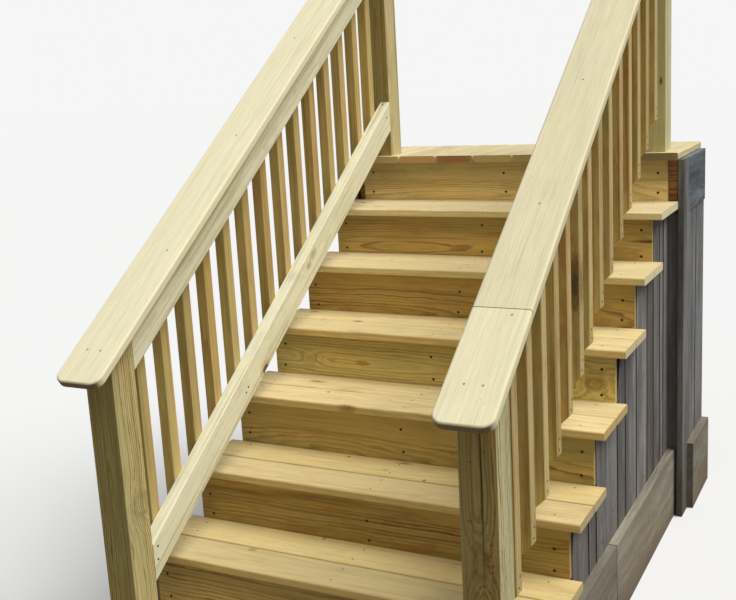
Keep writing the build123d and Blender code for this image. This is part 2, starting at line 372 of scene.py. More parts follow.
def varyBoards(base, own, amount):
    # Some boards paler, some darker
    return shade(base, span(own, *bothMasks["boards"], 1.0 - amount, 1.0 + amount, smooth=False))


def finishWood(shader, base, look, fibre, rough, height):
    feed(shader.inputs["Base Color"], base)
    feed(shader.inputs["Roughness"], span(fibre, *bothMasks["rough"], *rough))
    shader.inputs["Specular IOR Level"].default_value = look["shine"]
    bump = addNode("Bump")
    bump.inputs["Strength"].default_value = look["bump"]
    bump.inputs["Distance"].default_value = look["relief"]
    feed(bump.inputs["Height"], height)
    feed(shader.inputs["Normal"], bump.outputs[0])


# Where each mask of a new board starts and is full; front, gap and the band of painted shade under a nosing are metres
pineMasks = {
    "cloud": (0.42, 0.7), "streak": (0.5, 0.72), "odd": (0.35, 1.0), "fibre": (0.25, 0.75), "front": (-0.001, 0.001),
    "gap": (0.002, 0.0055), "nosingShadeBand": (-0.07, 0.07), "flat": (0.8, 0.97), "sawn": (0.0, 0.3)}
# What a new board and a knot have where their own look says nothing else
pineUsual = {
    "pithY": 0.0, "pithZ": -0.07, "rake": 0.0, "calm": 0.4, "fadeFrom": 10.0, "apart": 1.37,
    "greenish": 0.15, "green": paint(186, 178, 126), "warmth": 0.0, "warmTone": paint(176, 122, 60),
    "smudged": 0.12, "smudge": paint(120, 108, 84), "nicked": 0.4, "nick": paint(84, 62, 36),
    "gap": paint(88, 66, 34), "faces": (), "edge": 0.2, "edgeTone": paint(240, 226, 178),
    "endDark": 0.35, "endFrom": (0.75, 0.95), "oddness": 0.7, "bump": 0.35, "relief": 0.0008, "shine": 0.3}
knotUsual = {"stretch": 1.5, "bends": True, "halo": 0.6, "depth": 0.85, "tone": paint(112, 76, 38)}


def pine(name, look, wood, knots=()):
    # New treated pine. knots: place in the model, size, stretch along the grain, tone and depth
    look = dict(pineUsual, **look)
    material, shader = startMaterial(name)
    board, facing, texture, own = wood.build()[:4]
    seed = wood.noiseSeed(own, look["apart"])
    pushes, marks, endMarks = 0.0, [], []
    for knot in knots:
        knot = dict(knotUsual, **knot)
        out = place(knotGroup, board=board, centre=wood.inside(knot["at"]), size=knot["size"],
                    stretch=knot["stretch"])
        core, rim, push = out["core"], out["rim"], out["push"]
        if own is not None:
            here = maths("COMPARE", own, wood.numbers[wood.find(knot["at"])], 0.01)
            core, rim, push = [times(value, here) for value in (core, rim, push)]
        if knot["bends"]:
            pushes = plus(pushes, push)
        (endMarks if "endTone" in knot else marks).append((core, rim, knot))
    rings = place(ringGroup, board=board, seed=seed, push=pushes, **{key: look[key] for key in ringKeys})
    used = place(handledGroup, board=board, seed=seed)
    base = mix(times(rings["rings"], look["contrast"]), look["early"], look["late"])
    for mask, amount, tone in (("cloud", "cloudy", "cloud"), ("streak", "streaky", "late")):
        base = mix(span(rings[mask], *pineMasks[mask], 0.0, look[amount]), base, look[tone])
    for mask, amount, tone in (("green", "greenish", "green"), ("warm", "warmth", "warmTone"),
                               ("smudge", "smudged", "smudge")):
        base = mix(times(used[mask], look[amount]), base, look[tone])
    if own is not None and "boardVaries" in look:
        base = varyBoards(base, own, look["boardVaries"])
        if "odd" in look:
            other = whiteNoise(times(own, oddStep))
            other = span(other, *pineMasks["odd"], 0.0, look["oddness"])
            base = mix(other, base, look["odd"], "MULTIPLY")
    darkest, palest = 1.0 - look["fibre"], 1.0 + look["fibre"] * 0.6
    base = shade(base, span(rings["fibre"], *pineMasks["fibre"], darkest, palest, smooth=False))
    if "joint" in look:
        # Two boards side by side: the front one more trodden, dirt and painted shade in the gap between them
        across = minus(split(texture.outputs["Object"])[wood.axis], wood.centre[wood.axis])
        front = span(across, *pineMasks["front"], 1.0, 0.0)
        base = mix(front, base, look["frontBoard"], "MULTIPLY")
        gap = span(absolute(across), *pineMasks["gap"], look["joint"], 0.0)
        base = mix(gap, base, look["gap"])
    # Painted shade: the board lighter or darker from its foot to its top, standing in for the shade under the nosing
    # above
    if "nosingShade" in look:
        base = shade(base, span(split(board)[1], *pineMasks["nosingShadeBand"], *look["nosingShade"]))
    for core, rim, knot in marks:
        base = mix(times(rim, knot["halo"]), base, look["late"], "MULTIPLY")
        base = mix(times(core, knot["depth"]), base, knot["tone"])
    base = mix(times(used["nicks"], look["nicked"]), base, look["nick"])
    base = paintFacingLight(base, texture, look["faces"])
    flatness = maths("MAXIMUM", absolute(facing[1]), absolute(facing[2]))
    endGrain = span(absolute(facing[0]), *look["endFrom"])
    if "endUnder" in look:
        # A rounded top edge stays pale, the sawn end below it is dark
        endGrain = times(endGrain, span(facing[2], *look["endUnder"], 1.0, 0.0))
    worn = span(flatness, *pineMasks["flat"], 1.0, 0.0)
    worn = times(worn, span(endGrain, *pineMasks["sawn"], 1.0, 0.0))
    base = mix(times(worn, look["edge"]), base, look["edgeTone"])
    sawn = look["end"]
    for core, rim, knot in endMarks:
        sawn = mix(core, sawn, knot["endTone"])
    base = mix(times(endGrain, look["endDark"]), base, sawn)
    height = minus(plus(times(rings["rings"], 0.6), rings["fibre"]), used["nicks"])
    rough = (look["rough"] - 0.07, look["rough"] + 0.08)
    finishWood(shader, base, look, rings["fibre"], rough, height)
    return material


# Where each mask of an old board starts and is full; seam is metres
oldMasks = {"bleach": (0.38, 0.62), "stain": (0.5, 0.72), "warm": (0.6, 1.0), "fibre": (0.3, 0.7),
            "seam": (0.0005, 0.0055), "side": (0.6, 0.9)}
# What an old board has where its own look says nothing else
oldUsual = {
    "fibre": 0.14, "gritty": 0.07, "cracked": 0.7, "crack": paint(34, 32, 30), "warmed": 0.55, "seams": False,
    "seam": paint(46, 44, 42), "seamDark": 0.75, "rubbed": 0.006, "soil": 0.5, "wet": 0.02, "splash": 0.3,
    "uneven": 0.5, "faces": (), "gapSideShade": 0.0, "side": paint(30, 28, 28), "bump": 0.6, "relief": 0.0012,
    "shine": 0.25, "rough": (0.72, 0.95), "apart": 1.71}


def oldWood(name, look, wood):
    # Bare boards that have stood outside for years
    look = dict(oldUsual, **look)
    material, shader = startMaterial(name)
    board, facing, texture, own, half = wood.build()
    old = place(oldGroup, board=board, seed=wood.noiseSeed(own, look["apart"]))
    base = mix(span(old["bleach"], *oldMasks["bleach"]), look["dark"], look["light"])
    base = mix(span(old["stain"], *oldMasks["stain"], 0.0, look["stained"]), base, look["stain"])
    if own is not None:
        base = varyBoards(base, own, look["boardVaries"])
        other = whiteNoise(times(own, oddStep))
        base = mix(span(other, *oldMasks["warm"], 0.0, look["warmed"]), base, look["warm"])
    for mask, amount in (("fibre", look["fibre"]), ("blotch", look["gritty"])):
        level = span(old[mask], *oldMasks["fibre"], 1.0 - amount, 1.0 + amount, smooth=False)
        base = shade(base, level)
    base = mix(times(old["crack"], look["cracked"]), base, look["crack"])
    if look["seams"]:
        # Shadow and dirt along the long edges of each board
        rubbed = times(swing(old["blotch"]), look["rubbed"])
        inward = minus(half, plus(absolute(split(board)[1]), rubbed))
        base = mix(span(inward, *oldMasks["seam"], look["seamDark"], 0.0), base, look["seam"])
    # Splashed earth near the ground
    height = split(texture.outputs["Object"])[2]
    reach = plus(height, times(swing(old["stain"]), look["uneven"]))
    base = mix(span(reach, look["wet"], look["splash"], look["soil"], 0.0), base, look["earth"])
    base = paintFacingLight(base, texture, look["faces"])
    # Painted shade: the side faces of a board, in the gaps between boards, are darkened towards near black
    side = span(absolute(facing[1]), *oldMasks["side"])
    base = mix(times(side, look["gapSideShade"]), base, look["side"])
    finishWood(shader, base, look, old["fibre"], look["rough"], minus(old["fibre"], old["crack"]))
    return material


def dress(node, make, name, look, grain, seed, *knots, **laid):
    # make: pine or oldWood; laid: tilt, several and dealt of the board
    material = make(name, look, Board(node, grain, seed, **laid), *knots)
    for slot in nodes[node].material_slots:
        slot.link = "OBJECT"
        slot.material = material


towardFront, upward, towardRight, towardLeft = (0, -1, 0), (0, 0, 1), (1, 0, 0), (-1, 0, 0)


def facingLightTints(front, right=None):
    # Painted light and shade for the faces that look to the front and to the right
    faces = [(towardFront, (*front, 1))]
    return faces + [(towardRight, (*right, 1))] if right else faces


def knotAt(x, y, z, size, **rest):
    return dict(rest, at=(x, y, z), size=size)


# Treads, clear pale boards with faint rings; their front faces are painted lighter and warmer, as painted light
treadLook = {
    "ringWidth": 0.011, "pithZ": -0.06, "wander": 0.07, "contrast": 0.5, "calm": 0.6, "rake": 0.03, "cloudy": 0.3,
    "streaky": 0.4, "fibre": 0.18, "rough": 0.6, "bump": 0.3, "endDark": 0.8, "boardVaries": 0.03, "edge": 0.0,
    "smudged": 0.2, "nicked": 0.3, "late": paint(200, 168, 106), "cloud": paint(222, 196, 138),
    "faces": facingLightTints((1.14, 1.06, 0.85))}
clean, trodden = (1, 1, 1, 1), (0.9, 0.91, 1.0, 1)
treadLooks = {
    1: {"early": paint(229, 211, 166), "end": paint(234, 224, 184), "joint": 0.1, "frontBoard": clean,
        "faces": facingLightTints((1.36, 1.4, 1.24))},
    2: {"early": paint(231, 211, 159), "end": paint(232, 222, 180), "joint": 0.1, "frontBoard": clean,
        "faces": facingLightTints((1.24, 1.27, 1.1))},
    3: {"early": paint(236, 215, 158), "end": paint(216, 196, 156), "joint": 0.1, "frontBoard": clean},
    4: {"early": paint(240, 219, 162), "end": paint(198, 162, 100), "joint": 0.15, "frontBoard": (1, 0.99, 1, 1),
        "faces": facingLightTints((1.01, 0.94, 0.78))},
    5: {"early": paint(228, 205, 142), "end": paint(188, 168, 126), "joint": 0.5, "frontBoard": trodden},
    6: {"early": paint(224, 202, 140), "end": paint(196, 172, 120), "joint": 0.38, "frontBoard": trodden},
    7: {"early": paint(214, 192, 138), "end": paint(196, 172, 120), "joint": 0.5, "frontBoard": (0.94, 0.94, 1.0, 1)}}
pinKnot = {"stretch": 1.0, "tone": paint(44, 30, 20), "depth": 0.95, "bends": False}
treadKnots = {
    1: [knotAt(-0.5419, 0.59, 1.127, 0.006, stretch=5.0, tone=paint(126, 66, 50), depth=0.8),
        knotAt(-0.42, 0.487, 1.127, 0.006, stretch=2.5, depth=0.35),
        knotAt(-0.2, 0.47, 1.127, 0.005, depth=0.3)],
    2: [knotAt(-0.3, 0.33, 0.966, 0.005, depth=0.3)],
    3: [knotAt(-0.3133, 0.0784, 0.805, 0.0055, stretch=2.2, depth=0.65, halo=0.5),
        knotAt(-0.4419, 0.0751, 0.805, 0.005, stretch=2.5, depth=0.35, halo=0.3, tone=paint(170, 104, 52)),
        knotAt(-0.5286, 0.1673, 0.805, 0.005, stretch=2.0, depth=0.6),
        knotAt(0.1, 0.12, 0.805, 0.004, depth=0.3)],
    4: [knotAt(-0.3795, -0.1031, 0.644, 0.007, stretch=3.2, depth=0.7),
        knotAt(-0.288, -0.1924, 0.644, 0.0045, **pinKnot),
        knotAt(-0.171, -0.2944, 0.641, 0.0055, stretch=3.5, tone=paint(146, 106, 54), depth=0.7, bends=False),
        knotAt(0.13, -0.2, 0.644, 0.004, depth=0.35)],
    5: [knotAt(0.0126, -0.2947, 0.483, 0.005, stretch=3.5, depth=0.7),
        knotAt(-0.173, -0.2974, 0.483, 0.004, **pinKnot),
        knotAt(0.118, -0.3944, 0.483, 0.0045, **pinKnot),
        knotAt(-0.02, -0.36, 0.483, 0.0045, depth=0.4)],
    6: [knotAt(-0.143, -0.5254, 0.322, 0.004, **dict(pinKnot, depth=0.9)),
        knotAt(-0.3, -0.66, 0.322, 0.006, depth=0.4)]}
for number, look in treadLooks.items():
    dress("tread_%d" % number, pine, "treadPine%d" % number, dict(treadLook, **look), "x", 10 + number,
          treadKnots.get(number, ()), several=1)

# Risers: broad arches of darker grain on a calmer ground, with painted shade towards the top, under the nosing above
riserLook = {
    "ringWidth": 0.012, "pithZ": -0.03, "pithY": -0.04, "rake": 0.06, "wander": 0.04, "contrast": 0.9, "calm": 0.6,
    "cloudy": 0.5, "streaky": 0.6, "fibre": 0.2, "rough": 0.55, "bump": 0.4, "endDark": 0.3, "edge": 0.0,
    "nicked": 0.2, "smudged": 0.25, "nosingShade": (1.18, 0.8), "cloud": paint(186, 156, 88), "end": paint(196, 170, 116)}
riserLooks = {
    1: {"early": paint(238, 214, 144), "late": paint(153, 107, 48), "cloud": paint(200, 172, 106),
        "ringWidth": 0.0085, "pithY": -0.055, "rake": 0.07, "wander": 0.05, "fadeFrom": 0.0, "streaky": 0.35,
        "nosingShade": (1.32, 0.66)},
    2: {"early": paint(214, 182, 104), "late": paint(122, 80, 26), "cloud": paint(176, 142, 72),
        "ringWidth": 0.0095, "wander": 0.045, "rake": 0.08, "calm": 0.5, "streaky": 0.45, "contrast": 0.7,
        "nosingShade": (1.24, 0.76)},
    3: {"early": paint(208, 174, 92), "late": paint(124, 72, 18), "cloud": paint(180, 144, 68),
        "ringWidth": 0.009, "pithY": -0.055, "rake": 0.08, "fadeFrom": 0.01, "streaky": 0.35, "warmth": 0.3,
        "warmTone": paint(176, 112, 44), "nosingShade": (1.05, 0.95)},
    4: {"early": paint(231, 208, 126), "late": paint(142, 108, 45), "cloud": paint(198, 179, 99),
        "ringWidth": 0.009, "pithY": -0.01, "rake": 0.05, "calm": 0.2, "streaky": 0.3, "contrast": 0.8,
        "greenish": 0.45},
    5: {"early": paint(212, 182, 106), "late": paint(104, 82, 30), "greenish": 0.35, "green": paint(138, 148, 84),
        "ringWidth": 0.013, "pithY": -0.065, "pithZ": -0.031, "rake": 0.1, "wander": 0.05, "fadeFrom": -0.01,
        "streaky": 0.3, "nosingShade": (0.98, 0.98)},
    6: {"early": paint(196, 164, 86), "late": paint(99, 65, 20), "cloud": paint(167, 137, 66),
        "ringWidth": 0.011, "pithY": 0.12, "pithZ": -0.02, "rake": 0.02, "calm": 0.5, "fadeFrom": 0.02,
        "warmth": 0.4, "warmTone": paint(160, 100, 38), "nosingShade": (0.95, 1.03)},
    7: {"early": paint(212, 185, 118), "late": paint(116, 82, 32), "cloud": paint(183, 154, 89), "rake": 0.05},
    8: {"early": paint(200, 174, 110), "late": paint(120, 86, 36), "cloud": paint(172, 144, 84), "pithY": 0.03}}
riserKnots = {
    2: [knotAt(0.5558, 0.4416, 1.0304, 0.004, stretch=9.0, tone=paint(70, 44, 22), depth=0.9)],
    4: [knotAt(-0.4393, -0.0364, 0.6995, 0.009, stretch=2.0, depth=0.3, halo=0.15, tone=paint(120, 92, 46)),
        knotAt(-0.2469, -0.0364, 0.6976, 0.011, stretch=2.6, depth=0.45, halo=0.0, tone=paint(170, 112, 52),
               bends=False),
        knotAt(0.5095, -0.0364, 0.6944, 0.014, stretch=1.3, depth=0.3, tone=paint(134, 100, 48))]}
for number, look in riserLooks.items():
    dress("riser_%d" % number, pine, "riserPine%d" % number, dict(riserLook, **look), "xUp", 30 + number,
          riserKnots.get(number, ()))

# Guards: pale rails and caps; posts and balusters get painted shade or painted light on their fronts and right faces
railLook = {
    "ringWidth": 0.007, "pithZ": -0.08, "wander": 0.03, "contrast": 0.5, "calm": 0.5, "cloudy": 0.25,
    "streaky": 0.8, "smudged": 0.25, "fibre": 0.15, "rough": 0.55, "endDark": 0.3, "greenish": 0.25,
    "green": paint(204, 206, 168), "early": paint(244, 240, 208), "late": paint(200, 186, 136),
    "cloud": paint(228, 222, 182), "end": paint(206, 186, 132)}
capLook = dict(
    railLook, ringWidth=0.0042, contrast=0.2, calm=0.4, cloudy=0.2, streaky=0.25, pithY=0.03, wander=0.02,
    endDark=0.85, endFrom=(0.45, 0.8), endUnder=(0.12, 0.5), smudged=0.06, nicked=0.2, greenish=0.08, edge=0.35,
    edgeTone=paint(226, 210, 160), late=paint(206, 190, 138), cloud=paint(232, 222, 180), end=paint(106, 78, 36))
postLook = dict(
    railLook, ringWidth=0.0062, contrast=1.0, calm=0.2, streaky=0.6, greenish=0.35, green=paint(176, 174, 122),
    rake=0.03, wander=0.035, pithZ=-0.05, fibre=0.14, edge=0.1, early=paint(214, 198, 142),
    late=paint(132, 100, 48), cloud=paint(190, 168, 108), end=paint(190, 160, 104))
stickLook = dict(
    railLook, contrast=0.7, streaky=0.7, greenish=0.4, green=paint(168, 160, 98), boardVaries=0.1, rake=0.015,
    fibre=0.12, smudged=0.1, edge=0.3, nicked=0.25, odd=(0.94, 0.84, 0.66, 1.0), late=paint(166, 128, 68),
    cloud=paint(206, 182, 122), end=paint(214, 192, 142))
newelLooks = {
    "left": dict(postLook, faces=facingLightTints((0.76, 0.71, 0.48))),
    "right": dict(postLook, early=paint(218, 212, 166), green=paint(184, 196, 162), greenish=0.5,
                  faces=facingLightTints((0.78, 0.57, 0.3), (0.95, 0.96, 0.9)))}
upperLooks = {
    "left": dict(postLook, early=paint(218, 202, 148), contrast=0.7, faces=facingLightTints((0.76, 0.7, 0.49))),
    "right": dict(postLook, early=paint(224, 214, 166), green=paint(204, 208, 160), greenish=0.5, contrast=0.5,
                  faces=facingLightTints((1.0, 0.98, 0.86)))}
stickLooks = {
    "left": dict(stickLook, early=paint(212, 187, 124), warmth=0.14, warmTone=paint(178, 122, 62),
                 faces=facingLightTints((1.14, 1.13, 0.88))),
    "right": dict(stickLook, early=paint(226, 203, 146), warmth=0.4, warmTone=paint(180, 126, 72),
                  faces=facingLightTints((0.88, 0.8, 0.53), (0.92, 0.92, 0.88)))}
dent = {"stretch": 1.0, "depth": 0.8, "halo": 0.0, "bends": False}
newelKnots = {
    "left": [knotAt(-0.4525, -0.9298, 0.544, 0.009, stretch=2.6, depth=0.12, halo=0.25),
             knotAt(-0.53, -0.9879, 0.56, 0.008, stretch=2.4, depth=0.15, halo=0.25)],
    "right": [knotAt(0.515, -0.9879, 0.572, 0.013, stretch=2.4, depth=0.15, halo=0.3),
              knotAt(0.523, -0.9879, 0.78, 0.0018, stretch=90.0, depth=0.9, tone=paint(40, 30, 18), bends=False),
              knotAt(0.4989, -0.9879, 0.804, 0.0028, **dent),
              knotAt(0.4893, -0.9879, 0.669, 0.0026, **dent),
              knotAt(0.4962, -0.9879, 0.67, 0.0026, **dent),
              knotAt(0.53, -0.9879, 0.83, 0.0026, **dict(dent, depth=0.6))]}
railKnots = {
    "left": [knotAt(-0.4525, 0.0513, 1.0314, 0.009, stretch=1.8, depth=0.4),
             knotAt(-0.4525, 0.0204, 1.0003, 0.007, stretch=1.6, depth=0.5),
             knotAt(-0.4525, -0.2849, 0.7312, 0.017, stretch=1.2, depth=0.9, tone=paint(96, 52, 26)),
             knotAt(-0.4525, -0.4575, 0.7371, 0.006, stretch=1.4, depth=0.6)]}
upperKnots = {
    "right": [knotAt(0.5434, 0.6911, 1.5241, 0.003, stretch=3.0, depth=0.9, tone=paint(50, 40, 24), bends=False)]}
stickKnots = {"right": [knotAt(0.53, -0.297, 1.045, 0.012, stretch=4.2, halo=0.7, tone=paint(70, 54, 40))]}
sticksDealt = {"left": 11601, "right": 64}  # the shuffle that says which balusters are paler
for side, seed in (("left", 50), ("right", 60)):
    dress("newel_" + side, pine, "newelPine_" + side, newelLooks[side], "z", seed, newelKnots[side])
    dress("upper_post_" + side, pine, "postPine_" + side, upperLooks[side], "z", seed + 1,
          upperKnots.get(side, ()))
    dress("top_rail_" + side, pine, "topRailPine_" + side, railLook, "ySide", seed + 2, tilt=slope)
    dress("bottom_rail_" + side, pine, "bottomRailPine_" + side, railLook, "ySide", seed + 3,
          railKnots.get(side, ()), tilt=slope)
    dress("balusters_" + side, pine, "balusterPine_" + side, stickLooks[side], "z", seed + 4,
          stickKnots.get(side, ()), several=1, dealt=sticksDealt[side])
capLooks = {
    "left": dict(capLook, early=paint(246, 238, 200)),
    "right_lower": dict(capLook, early=paint(243, 234, 194)),
    "right_upper": dict(capLook, early=paint(233, 223, 184), end=paint(206, 190, 146), greenish=0.15, smudged=0.1)}
for seed, (part, look) in enumerate(capLooks.items(), 70):
    dress("cap_" + part, pine, "capPine" + part.title().replace("_", ""), look, "y", seed, tilt=slope)
print("stairs and guards dressed")

# Landing: boards with reddish sawn ends, and the framing under them
landingLook = dict(
    treadLook, early=paint(220, 204, 158), late=paint(184, 158, 106), cloud=paint(204, 184, 136),
    end=paint(208, 184, 120), contrast=0.4, boardVaries=0.08, faces=())
landingEnds = {"y": 0.6556, "z": 1.2785, "reach": 0.085, "flat": 0.08,
               "tones": {-0.3345: paint(216, 170, 106), -0.1875: paint(164, 102, 58), 0.1065: paint(190, 160, 104),
                         0.5415: paint(126, 108, 66)}}  # X of a board and the tone of its end
landingMarks = [knotAt(x, landingEnds["y"], landingEnds["z"], landingEnds["reach"], stretch=landingEnds["flat"],
                       endTone=tone, bends=False) for x, tone in landingEnds["tones"].items()]
dress("landing_boards", pine, "landingPine", landingLook, "y", 80, landingMarks, several=0)
frameLook = dict(
    postLook, ringWidth=0.006, contrast=0.9, greenish=0.0, rough=0.7, early=paint(190, 142, 92),
    late=paint(104, 60, 30), cloud=paint(160, 112, 66), end=paint(140, 92, 56))
dress("rim_joist", pine, "rimWood", frameLook, "xUp", 81)
dress("back_joist", pine, "backJoistWood", frameLook, "xUp", 82)
dress("side_joists", pine, "sideJoistWood", frameLook, "ySide", 83, several=0)
dress("stringer_ledger", pine, "ledgerWood", frameLook, "xUp", 84)
for seed, side in enumerate(("left", "middle", "right"), 85):
    dress("stringer_" + side, pine, "stringerWood_" + side, frameLook, "ySide", seed, tilt=slope)

# Old grey boards on the sides; on the stair siding the side faces of each board, in the gaps, take painted shade near
# black
sidingLook = {
    "dark": paint(95, 93, 94), "light": paint(132, 128, 123), "stain": paint(102, 92, 82), "stained": 0.45,
    "warm": paint(102, 93, 82), "boardVaries": 0.34, "earth": paint(104, 88, 72), "splash": 0.5, "gapSideShade": 0.85,
    "fibre": 0.3, "gritty": 0.14, "seams": True, "cracked": 0.45}
# The landing siding's front faces get painted shade
landingSidingLook = dict(
    sidingLook, dark=paint(96, 96, 98), light=paint(134, 133, 132), gapSideShade=0.0, boardVaries=0.08,
    faces=facingLightTints((0.75, 0.75, 0.75)))
# The trims' front faces get painted light
trimLook = {
    "dark": paint(87, 87, 85), "light": paint(127, 126, 121), "stain": paint(88, 78, 66), "stained": 0.4,
    "warm": paint(112, 102, 92), "boardVaries": 0.06, "earth": paint(92, 74, 56), "faces": facingLightTints((1.25, 1.25, 1.25))}
skirtLook = {
    "dark": paint(126, 119, 104), "light": paint(151, 143, 125), "stain": paint(100, 94, 78), "stained": 0.35,
    "gritty": 0.1, "warm": paint(134, 119, 98), "boardVaries": 0.22, "earth": paint(110, 90, 68), "soil": 0.55,
    "splash": 0.15}
fasciaLook = {
    "dark": paint(66, 74, 80), "light": paint(122, 128, 134), "stain": paint(88, 76, 70), "stained": 0.5,
    "warm": paint(98, 100, 104), "boardVaries": 0.08, "earth": paint(92, 74, 56), "soil": 0.0}
postOldLook = {
    "dark": paint(126, 124, 120), "light": paint(166, 163, 157), "stain": paint(92, 82, 70), "stained": 0.5,
    "earth": paint(80, 64, 50)}
sidesDealt = {"left": 100, "right": 97277, "skirts": 110}  # the shuffles that say which boards are paler
for side, seed in (("left", 100), ("right", 101)):
    dress("siding_" + side, oldWood, "sidingWood_" + side, sidingLook, "zSide", seed, several=1,
          dealt=sidesDealt[side])
    dress("skirt_" + side, oldWood, "skirtWood_" + side, skirtLook, "ySide", seed + 10, several=1,
          dealt=sidesDealt["skirts"])
dress("corner_trims", oldWood, "trimWood", trimLook, "zSide", 120, several=0)
dress("fascia_boards", oldWood, "fasciaWood", fasciaLook, "ySide", 121, several=0)
dress("landing_siding", oldWood, "landingSidingWood", landingSidingLook, "zSide", 122, several=1)
dress("landing_skirts", oldWood, "landingSkirtWood", skirtLook, "ySide", 123, several=0)
dress("landing_posts", oldWood, "landingPostWood", postOldLook, "z", 124)


def addPiece(name, work, material):
    # The finished work mesh as a piece that rides on the part
    mesh = bpy.data.meshes.new(name)
    work.to_mesh(mesh)
    work.free()
    mesh.materials.append(material)
    piece = bpy.data.objects.new(name, mesh)
    bpy.context.scene.collection.objects.link(piece)
    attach(piece, "root")
    return piece


# Battens behind the joints of the landing siding
batten = {"width": 0.06, "thickness": 0.012, "bevel": 0.002, "seed": 125}
low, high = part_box("landing_siding")
inner = min(abs(vertex.co.x) for vertex in nodes["landing_siding"].data.vertices)
firstBoard, secondBoard = boardsAlong("landing_siding", 1)[:2]
size = (batten["thickness"], batten["width"], high.z - low.z)
work = bmesh.new()
for side in (-1, 1):
    centre = (side * (inner - batten["thickness"] / 2), (firstBoard[1] + secondBoard[0]) / 2, (low.z + high.z) / 2)
    bmesh.ops.create_cube(work, size=1.0, matrix=Matrix.Translation(centre) @ Matrix.Diagonal((*size, 1)))
bmesh.ops.bevel(work, geom=work.edges[:], offset=batten["bevel"], segments=2, affect="EDGES")
battenWood = oldWood("battenWood", trimLook, Board("landing_siding", "zSide", batten["seed"]))
battens = addPiece("landingBattens", work, battenWood)
print("landing and side boards dressed")


metalUsual = {"grain": 700, "detail": 3.0, "patch": (0.4, 0.65), "worn": (0.3, 0.7), "rough": (0.5, 0.85),
              "metallic": 0.0}


def metal(name, look):
    # Heads with patches of rust or of a worn coating
    look = dict(metalUsual, **look)
    material, shader = startMaterial(name)
    texture = addNode("TexCoord")
    rust = noise(texture.outputs["Object"], [look["grain"]] * 3, look["detail"])
    feed(shader.inputs["Base Color"], mix(span(rust, *look["patch"]), look["dark"], look["light"]))
    feed(shader.inputs["Roughness"], span(rust, *look["worn"], *look["rough"]))
    shader.inputs["Metallic"].default_value = look["metallic"]
    return material


# Screws and nails
darkScrews = metal("darkScrews", {"dark": paint(38, 27, 20), "light": paint(92, 58, 34), "metallic": 0.3})
brownScrews = metal("brownScrews", {"dark": paint(88, 64, 40), "light": paint(138, 106, 68)})
tanScrews = metal("tanScrews", {"dark": paint(150, 124, 82), "light": paint(196, 172, 124), "detail": 2.0,
                                "patch": (0.4, 0.6), "rough": (0.45, 0.7)})
rustyNails = metal("rustyNails", {"dark": paint(40, 34, 32), "light": paint(98, 72, 56), "grain": 500,
                                  "patch": (0.35, 0.65), "rough": (0.7, 0.95)})
# dome and recess: share of the radius, height over the wood
head = {"sides": 12, "dome": [(1.0, 0.00002), (0.86, 0.0005), (0.6, 0.00045)],
        "recess": [(0.5, 0.0004), (0.34, 0.0001)]}


def addHeads(name, spots, radius, material, recess=True):
    # Fastener heads in one piece; each spot is a point on the wood and the way it faces
    work = bmesh.new()
    sides = head["sides"]
    angles = [math.tau * i / sides for i in range(sides)]
    for point, normal in spots:
        turn = Vector(normal).to_track_quat("Z", "Y").to_matrix()
        rings = []
        for share, height in head["dome"] + (head["recess"] if recess else []):
            reach = radius * share
            corners = [Vector((reach * math.cos(a), reach * math.sin(a), height)) for a in angles]
            rings.append([work.verts.new(Vector(point) + turn @ corner) for corner in corners])
        for outer, inner in zip(rings, rings[1:]):
            for i in range(sides):
                after = (i + 1) % sides
                work.faces.new((outer[i], outer[after], inner[after], inner[i]))
        work.faces.new(rings[-1])
    addPiece(name, work, material)


chance = random.Random(5)


def near(value, slack):
    # Set by hand, so a little beside its place
    return value + chance.uniform(-slack, slack)


riserScrews = {"radius": 0.0046, "across": (-0.532, -0.003, 0.532), "slackX": 0.005, "slackZ": 0.004,
               "heights": {1: (27, 98), 2: (18, 104), 3: (20, 84), 4: (22, 95), 5: (28, 97), 6: (12, 74),
                           7: (19, 92), 8: (24, 96)}}  # millimetres over the tread below
spots = []
for number, heights in riserScrews["heights"].items():
    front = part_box("riser_%d" % number)[0].y
    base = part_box("tread_%d" % number)[1].z if number <= treadCount else 0.0
    for x in riserScrews["across"]:
        for height in heights:
            spot = (near(x, riserScrews["slackX"]), front, near(base + height / 1000, riserScrews["slackZ"]))
            spots.append((spot, towardFront))
addHeads("riserScrews", spots, riserScrews["radius"], darkScrews)

# rows: back from the front edge; single: rows that the right end goes without; newel: rows that the newels cover
treadScrews = {"radius": 0.0028, "across": (-0.524, -0.002, 0.524), "rows": (0.035, 0.095, 0.158, 0.222),
               "slackX": 0.006, "slackY": 0.004, "endX": 0.4, "single": (0.05, 0.2), "newel": 0.13}
spots = []
for number in range(1, treadCount + 1):
    low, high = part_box("tread_%d" % number)
    for x in treadScrews["across"]:
        for row in treadScrews["rows"]:
            single = x > treadScrews["endX"] and treadScrews["single"][0] < row < treadScrews["single"][1]
            atNewel = number == treadCount and row > treadScrews["newel"] and abs(x) > treadScrews["endX"]
            if not single and not atNewel:
                spot = (near(x, treadScrews["slackX"]), near(high.y - row, treadScrews["slackY"]), high.z)
                spots.append((spot, upward))
addHeads("treadScrews", spots, treadScrews["radius"], brownScrews)

